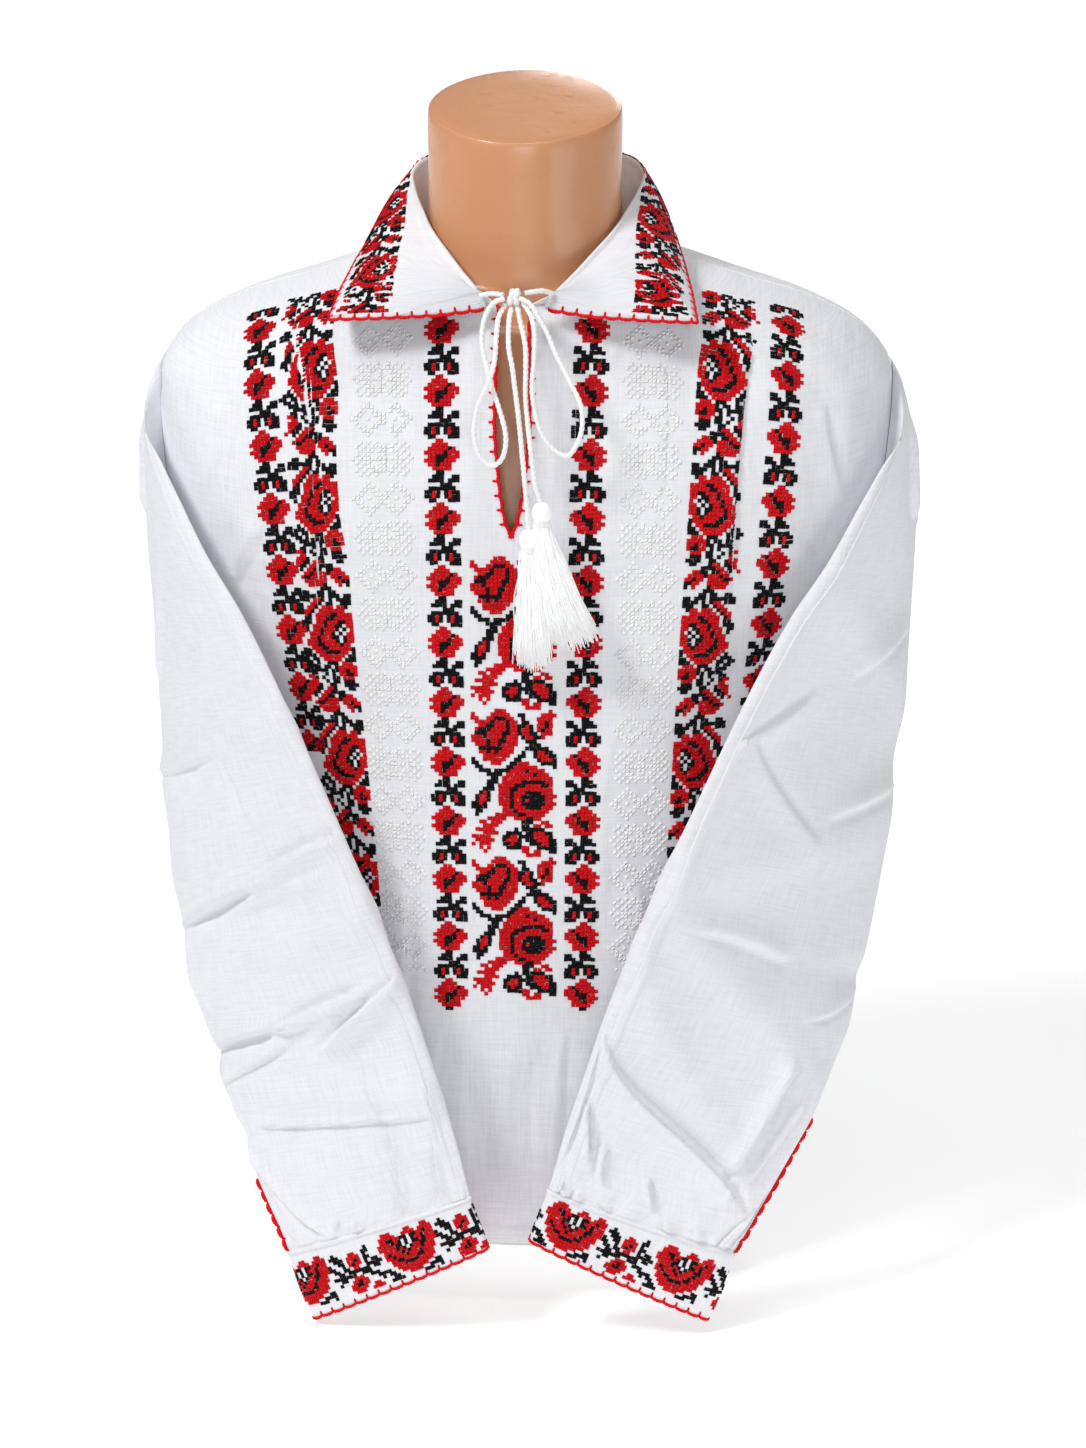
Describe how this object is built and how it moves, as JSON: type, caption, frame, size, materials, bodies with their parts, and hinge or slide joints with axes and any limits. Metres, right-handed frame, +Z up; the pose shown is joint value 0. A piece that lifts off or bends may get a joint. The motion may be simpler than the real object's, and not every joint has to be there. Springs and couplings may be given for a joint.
{
  "type": "embroidered folk shirt on a limbless dress form",
  "caption": "Long-sleeved folk shirt with a turned-down collar, a tied slit neck and gathered cuffs, worn by a limbless dress form that stands on a flat base.",
  "frame": {"origin": "on the floor under the neck, on the dress form's flat base", "axes": "+Z up, front of the shirt towards -Y, +X to the right of a viewer who faces the front"},
  "size_m": [0.5461, 0.3021, 0.8394],
  "materials": {
    "cloth": "plain-woven white linen and cotton",
    "form": "smooth skin-toned plastic",
    "tie": "twisted white cotton cord"
  },
  "bodies": {
    "root": {"dress_form": "form", "front_panel": "cloth", "back_panel": "cloth", "sleeve_left": "cloth", "sleeve_right": "cloth", "cuff_left": "cloth", "cuff_right": "cloth", "collar": "cloth", "tie_stub_left": "tie", "tie_stub_right": "tie", "tie_loop_left": "tie", "tie_loop_right": "tie", "tie_end_left": "tie", "tie_end_right": "tie", "tie_knot": "tie", "tassel_left": "tie", "tassel_right": "tie"}
  },
  "joints": []
}
